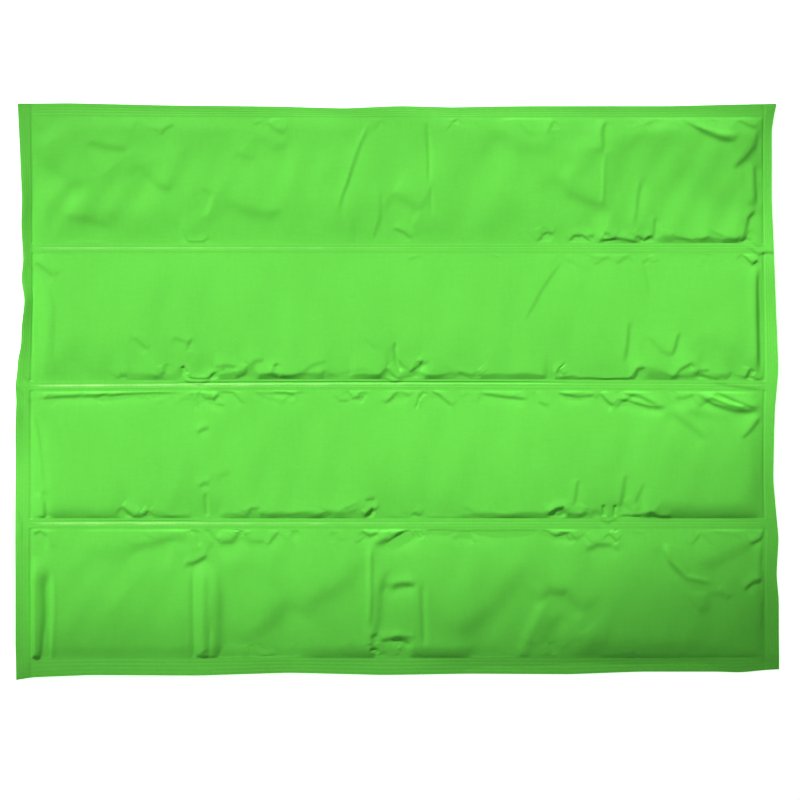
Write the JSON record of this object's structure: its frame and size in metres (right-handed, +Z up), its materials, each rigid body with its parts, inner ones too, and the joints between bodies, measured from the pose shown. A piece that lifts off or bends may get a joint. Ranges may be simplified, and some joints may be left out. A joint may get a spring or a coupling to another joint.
{
  "type": "quilted gel mat",
  "caption": "Thin quilted mat: two coated fabric skins welded round a ribbed rim and along ribbed seams into long chambers of gel and foam; it folds up flat at its seams.",
  "frame": {"origin": "on the floor under the middle of the mat", "axes": "+X along the rows, +Y across the rows towards row 1, +Z up out of the mat's top face"},
  "size_m": [0.65, 0.49, 0.01],
  "materials": {
    "coated_nylon": "satin",
    "weld": "satin",
    "gel": "gloss",
    "foam": "matte"
  },
  "bodies": {
    "row_4": {"row_4_top_skin": "coated_nylon", "row_4_bottom_skin": "coated_nylon", "row_4_gel_layer": "gel", "row_4_foam_sheet": "foam", "row_4_left_rim": "weld", "row_4_right_rim": "weld", "row_4_end_rim": "weld"},
    "seam_3": {"seam_3_weld": "weld"},
    "row_3": {"row_3_top_skin": "coated_nylon", "row_3_bottom_skin": "coated_nylon", "row_3_gel_layer": "gel", "row_3_foam_sheet": "foam", "row_3_left_rim": "weld", "row_3_right_rim": "weld"},
    "seam_2": {"seam_2_weld": "weld"},
    "row_2": {"row_2_top_skin": "coated_nylon", "row_2_bottom_skin": "coated_nylon", "row_2_gel_layer": "gel", "row_2_foam_sheet": "foam", "row_2_left_rim": "weld", "row_2_right_rim": "weld"},
    "seam_1": {"seam_1_weld": "weld"},
    "row_1": {"row_1_top_skin": "coated_nylon", "row_1_bottom_skin": "coated_nylon", "row_1_gel_layer": "gel", "row_1_foam_sheet": "foam", "row_1_left_rim": "weld", "row_1_right_rim": "weld", "row_1_end_rim": "weld"}
  },
  "joints": [
    {"name": "seam_3_lower_fold", "type": "hinge", "parent": "row_4", "child": "seam_3", "pos_m": [0, -0.119, 0.005], "axis": [1, 0, 0], "range_deg": [0, 85]},
    {"name": "seam_3_upper_fold", "type": "hinge", "parent": "seam_3", "child": "row_3", "pos_m": [0, -0.11, 0.005], "axis": [1, 0, 0], "range_deg": [0, 85]},
    {"name": "seam_2_lower_fold", "type": "hinge", "parent": "row_3", "child": "seam_2", "pos_m": [0, -0.001, 0.005], "axis": [-1, 0, 0], "range_deg": [0, 85]},
    {"name": "seam_2_upper_fold", "type": "hinge", "parent": "seam_2", "child": "row_2", "pos_m": [0, 0.008, 0.005], "axis": [-1, 0, 0], "range_deg": [0, 85]},
    {"name": "seam_1_lower_fold", "type": "hinge", "parent": "row_2", "child": "seam_1", "pos_m": [0, 0.117, 0.005], "axis": [1, 0, 0], "range_deg": [0, 85]},
    {"name": "seam_1_upper_fold", "type": "hinge", "parent": "seam_1", "child": "row_1", "pos_m": [0, 0.126, 0.005], "axis": [1, 0, 0], "range_deg": [0, 85]}
  ],
  "couplings": [
    {"joint": "seam_3_upper_fold", "follows": "seam_3_lower_fold", "ratio": 1},
    {"joint": "seam_2_lower_fold", "follows": "seam_3_lower_fold", "ratio": 1},
    {"joint": "seam_2_upper_fold", "follows": "seam_3_lower_fold", "ratio": 1},
    {"joint": "seam_1_upper_fold", "follows": "seam_1_lower_fold", "ratio": 1}
  ]
}
